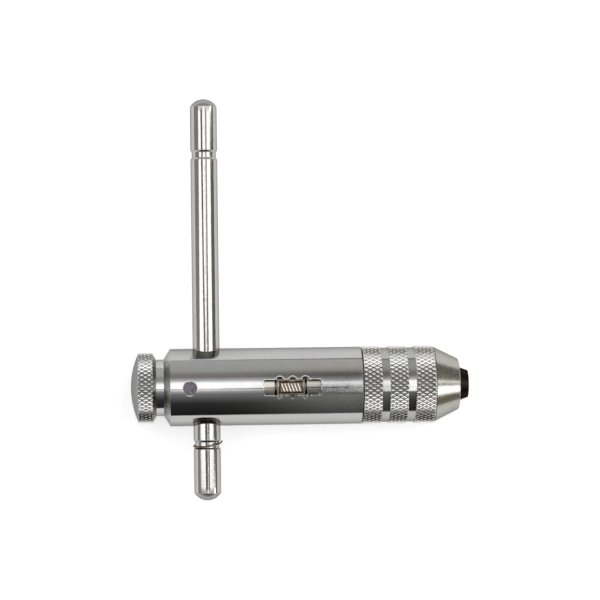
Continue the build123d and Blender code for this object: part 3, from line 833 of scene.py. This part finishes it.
node_materials = {
    "detent_plug": plug_steel,
    "detent_spring": ground_steel,
    "detent_pin": ground_steel,
    "spindle": ground_steel,
    "rear_plate": ground_steel,
    "front_bush": bush_bronze,
    "spindle_circlip": ground_steel,
    "pawl_right": ground_steel,
    "pawl_left": ground_steel,
    "pawl_pin_right": ground_steel,
    "pawl_pin_left": ground_steel,
    "pawl_spring": ground_steel,
    "selector": selector_plate,
    "selector_clip": clip_steel,
    "nut_snap_ring": ground_steel,
    "jaw_upper": black_oxide,
    "jaw_lower": black_oxide,
    "jaw_spring": ground_steel,
}
for node, material in node_materials.items():
    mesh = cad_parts[node].data
    mesh.materials.clear()
    mesh.materials.append(material)


# Pieces

knob_columns = knob_crests * knurl_steps
make_piece(
    "barrel_body",
    barrel_surface(knob_columns, 0, 1, 2, 3),
    "body",
    [barrel_chrome, inner_steel, turned_chrome, chamfer_plate],
    "barrel",
)
make_piece(
    "rear_knob",
    knob_surface(0, 1, 2),
    "body",
    [satin_steel, knob_knurl, chamfer_plate],
    "barrel",
)
make_piece(
    "nut_body",
    nut_surface(0, 1, 2),
    "nut",
    [cone_steel, nut_knurl, groove_chrome],
    "chuck_nut",
)
make_piece("tee_handle", bar_surface(0, 1), "bar", [bar_chrome, satin_steel], "tee_bar")
make_piece("wire_ring", ring_surface(), "bar", [browned_wire], "bar_ring")


# Table and light


def pale_table():
    """A large flat white light table under the tool's lowest point, lit a little from below."""
    size, gap = 3.0, 0.02 * MM
    height = cad_low[2] - gap
    corners = [(-size, -size, height), (size, -size, height), (size, size, height), (-size, size, height)]
    mesh = bpy.data.meshes.new("table")
    mesh.from_pydata(corners, [], [(0, 1, 2, 3)])
    table = bpy.data.objects.new("table", mesh)
    bpy.context.scene.collection.objects.link(table)
    material, _, shader, _ = new_material("matt_white_light_table")
    shader.inputs["Base Color"].default_value = linear("#f2f2f3")
    shader.inputs["Roughness"].default_value = 0.9
    shader.inputs["Emission Color"].default_value = linear("#ffffff")
    shader.inputs["Emission Strength"].default_value = 0.52
    mesh.materials.append(material)


def studio_light():
    """Soft light from every side, by direction.

    across is the direction's angle from the zenith towards +Y and along the one towards +X, in degrees.
    sideways and lean are the direction's own angles towards +Y and +X out of the plane square to them.
    A bright panel hangs overhead, with a pale wall behind it at +Y, a dark room at -Y and dim ends at
    both sides. Towards +X the panel narrows and the room gets less dark, up to a short second panel,
    and far aside of the middle the panel reaches more towards +Y.
    Two dark slots run through the panel from -Y to +Y, and meet beside a gleam at -Y. A low window at
    +X, with a post in it and a brown frame, lights the nut's cone.
    """
    world = bpy.data.worlds.new("studio")
    bpy.context.scene.world = world
    world.use_nodes = True
    tree = world.node_tree
    tree.nodes.clear()
    direction = add_node(tree, "ShaderNodeTexCoord").outputs["Generated"]
    parts = add_node(tree, "ShaderNodeSeparateXYZ", direction).outputs
    full_light = 2.4
    smooth = {"interpolation_type": "SMOOTHSTEP"}

    def from_zenith(side):
        """A direction's angle from the zenith towards a side, in degrees."""
        turn = add_node(tree, "ShaderNodeMath", side, parts["Z"], operation="ARCTAN2")
        return add_node(tree, "ShaderNodeMath", turn, operation="DEGREES")

    def out_of_plane(side):
        """A direction's own angle towards a side, in degrees."""
        turn = add_node(tree, "ShaderNodeMath", side, operation="ARCSINE")
        return add_node(tree, "ShaderNodeMath", turn, operation="DEGREES")

    def product(first, *others):
        """Shares that limit each other, multiplied."""
        for other in others:
            first = add_node(tree, "ShaderNodeMath", first, other, operation="MULTIPLY")
        return first

    def between(value, low, high, edge):
        """One where a value lies between two others, with soft edges."""
        over = add_node(tree, "ShaderNodeMath", value, low, operation="SUBTRACT")
        under = add_node(tree, "ShaderNodeMath", high, value, operation="SUBTRACT")
        return product(
            add_node(tree, "ShaderNodeMapRange", over, -edge, edge, **smooth),
            add_node(tree, "ShaderNodeMapRange", under, -edge, edge, **smooth),
        )

    def layered(light, *layers):
        """Light with more laid over it in turn, each as (share, light)."""
        for share, upper in layers:
            mix = {0: share, 6: light, 7: upper}
            light = add_node(tree, "ShaderNodeMix", inputs=mix, data_type="RGBA").outputs[2]
        return light

    def levels(value, stops):
        """A colour that runs through levels of light, given as (degrees, level, tint)."""
        place = add_node(tree, "ShaderNodeMapRange", value, -90.0, 90.0)
        node = add_node(tree, "ShaderNodeValToRGB", place)
        elements = node.color_ramp.elements
        while len(elements) < len(stops):
            elements.new(0.5)
        for element, (degrees, level, tint) in zip(elements, stops):
            element.position = (degrees + 90) / 180
            element.color = [c * level / full_light for c in linear(tint)[:3]] + [1.0]
        return node.outputs["Color"]

    across, along = from_zenith(parts["Y"]), from_zenith(parts["X"])
    sideways, lean = out_of_plane(parts["Y"]), out_of_plane(parts["X"])
    far_aside = add_node(tree, "ShaderNodeMath", sideways, operation="ABSOLUTE")
    rear = levels(
        across,
        [
            (-84, 0.02, "#f8faff"),
            (-47, 0.045, "#ffffff"),
            (-34, 0.15, "#fbfbff"),
            (-18, 0.36, "#fafaff"),
            (-10, 0.8, "#fbfbff"),
            (-4.5, 2.4, "#ffffff"),
            (13, 2.4, "#ffffff"),
            (21, 1.0, "#fbfdff"),
            (31, 0.36, "#fffafa"),
            (41, 0.42, "#fffaf2"),
            (52, 0.64, "#fffffa"),
            (90, 0.76, "#fafcff"),
        ],
    )
    front = levels(
        across,
        [
            (-84, 0.14, "#fcfffc"),
            (-57, 0.25, "#fffff8"),
            (-40, 0.33, "#fffff8"),
            (-27, 0.36, "#fffffb"),
            (-20, 0.19, "#fffffb"),
            (-8, 0.1, "#fffffb"),
            (-3, 0.18, "#fffffe"),
            (4, 0.6, "#fbfaff"),
            (10, 1.35, "#f4f7ff"),
            (15.5, 0.55, "#f2f6ff"),
            (20, 0.34, "#f6f8ff"),
            (25, 0.26, "#fffffc"),
            (34, 0.14, "#fff8e6"),
            (41, 0.25, "#fff6e2"),
            (48, 0.52, "#fff8ea"),
            (60, 0.72, "#fffdf8"),
            (90, 0.8, "#fffdf8"),
        ],
    )
    toward_front = product(
        add_node(tree, "ShaderNodeMapRange", lean, 1.9, 4.6, **smooth),
        add_node(tree, "ShaderNodeMapRange", lean, 5.2, 5.5, 1.0, 0.0, **smooth),
    )
    aside = levels(
        across,
        [
            (-84, 0.02, "#fbfbff"),
            (-34, 0.08, "#fbfbff"),
            (-18, 0.25, "#fbfbff"),
            (-8, 0.9, "#ffffff"),
            (2, 1.3, "#ffffff"),
            (14, 1.5, "#ffffff"),
            (32, 1.6, "#ffffff"),
            (46, 0.55, "#fffdf8"),
            (90, 0.5, "#fffaf2"),
        ],
    )
    off_middle = add_node(tree, "ShaderNodeMath", lean, 3.1, operation="SUBTRACT")
    off_middle = add_node(tree, "ShaderNodeMath", off_middle, operation="ABSOLUTE")
    aside_share = product(
        add_node(tree, "ShaderNodeMapRange", off_middle, 4.3, 5.6, **smooth),
        add_node(tree, "ShaderNodeMapRange", far_aside, 4.6, 6.2, **smooth),
    )
    apart = add_node(tree, "ShaderNodeMapRange", sideways, -3.0, 1.2, **smooth)
    left_out = add_node(tree, "ShaderNodeMapRange", sideways, -4.1, 4.4, -16.5, -27.0)
    left_in = add_node(tree, "ShaderNodeMath", apart, -11.3, 0.7, operation="MULTIPLY_ADD")
    right_in = add_node(tree, "ShaderNodeMath", apart, 8.8, 1.5, operation="MULTIPLY_ADD")
    right_out = add_node(tree, "ShaderNodeMapRange", sideways, -4.1, 4.4, 18.3, 26.0)
    right_slot = product(
        between(along, right_in, right_out, 1.0),
        add_node(tree, "ShaderNodeMapRange", sideways, -1.0, 3.0, 1.0, 0.75, **smooth),
    )
    left_slot = between(along, left_out, left_in, 1.0)
    slots = product(
        add_node(tree, "ShaderNodeMath", left_slot, right_slot, operation="MAXIMUM"),
        add_node(tree, "ShaderNodeMapRange", far_aside, 5.0, 7.0, 0.92, 0.0, **smooth),
    )
    second_panel = product(between(lean, 5.36, 8.2, 0.12), between(across, -18.0, 14.0, 3.0))
    overhead = layered(
        rear,
        (toward_front, front),
        (aside_share, aside),
        (slots, [0.0, 0.0, 0.0, 1.0]),
        (second_panel, [1.3, 1.3, 1.3, 1.0]),
    )
    ends = levels(
        along,
        [(-90, 0.45, "#fcf9f6"), (-50, 0.38, "#fcf9f6"), (50, 0.2, "#fdfbee"), (90, 0.26, "#fdfcee")],
    )
    frame_sides = [between(sideways, low, high, 3.0) for low, high in ((13.0, 25.0), (-46.0, -27.0))]
    window_frame = product(
        add_node(tree, "ShaderNodeMath", *frame_sides, operation="MAXIMUM"),
        add_node(tree, "ShaderNodeMapRange", along, 45.0, 50.0, **smooth),
    )
    low_window = product(
        between(along, 54.0, 71.0, 2.0),
        between(sideways, -25.0, 8.0, 2.0),
        add_node(tree, "ShaderNodeMapRange", far_aside, 3.8, 5.5, **smooth),
    )
    panel_end = add_node(tree, "ShaderNodeMapRange", sideways, -4.1, 2.9, -62.0, -46.5)
    colour = layered(
        ends,
        (window_frame, [0.1, 0.086, 0.064, 1.0]),
        (between(along, panel_end, 55.0, 2.5), overhead),
        (low_window, [1.5, 1.5, 1.47, 1.0]),
    )
    background = add_node(tree, "ShaderNodeBackground", colour, full_light)
    add_node(tree, "ShaderNodeOutputWorld", background)


def photo_camera():
    """A long lens above the tool, square to the table, a little turned about its line of sight."""
    camera_data = bpy.data.cameras.new("camera")
    camera = bpy.data.objects.new("camera", camera_data)
    bpy.context.scene.collection.objects.link(camera)
    height, scale, frame_width = 615.0, 0.2523, 600
    place = Vector((-78.87, 22.06, height))
    target = Vector((-42.17, 21.66, 0.0))
    roll = np.radians(0.69)
    distance = (place - target).length
    camera_data.sensor_width = 36.0
    camera_data.lens = camera_data.sensor_width * distance / (scale * frame_width)
    camera_data.clip_start, camera_data.clip_end = 0.01, 10.0
    back = (place - target).normalized()
    up = Vector((np.sin(roll), np.cos(roll), 0.0))
    right = up.cross(back).normalized()
    up = back.cross(right)
    turn = Matrix((right, up, back)).transposed()
    camera.matrix_world = Matrix.Translation(place * MM) @ turn.to_4x4()
    bpy.context.scene.camera = camera


pale_table()
studio_light()
photo_camera()
bpy.context.scene.view_settings.view_transform = "Standard"
